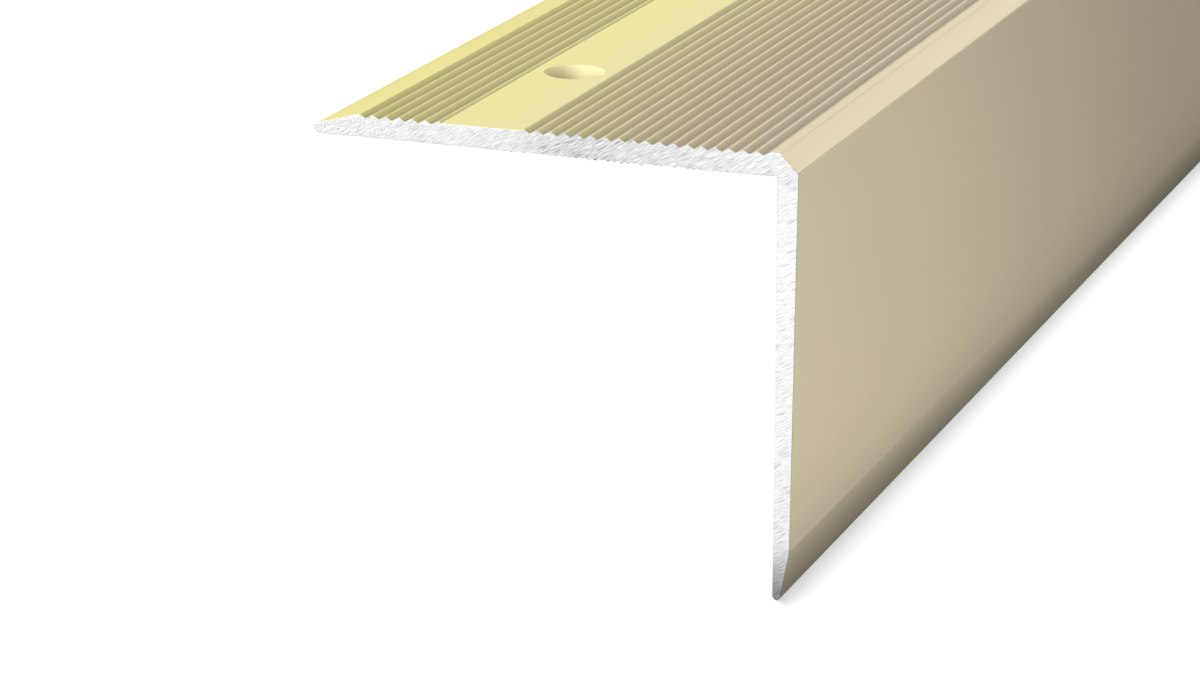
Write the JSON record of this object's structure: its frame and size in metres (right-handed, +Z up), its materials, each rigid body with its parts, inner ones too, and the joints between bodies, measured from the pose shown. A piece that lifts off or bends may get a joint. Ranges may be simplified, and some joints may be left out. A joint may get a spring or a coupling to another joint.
{
  "type": "stair nosing",
  "caption": "Extruded aluminium angle that caps a step's edge, with a grooved anti-slip tread and countersunk screw holes.",
  "frame": {"origin": "on the floor that both free edges stand on, midway between them and at the middle of the length", "axes": "+Y along the bar away from the cut end that the picture shows, +Z up, +X towards the riser leg's lower edge"},
  "size_m": [0.0652, 1, 0.0336],
  "materials": {
    "anodised_aluminium": "satin"
  },
  "bodies": {
    "root": {"nosing": "anodised_aluminium"}
  },
  "joints": []
}
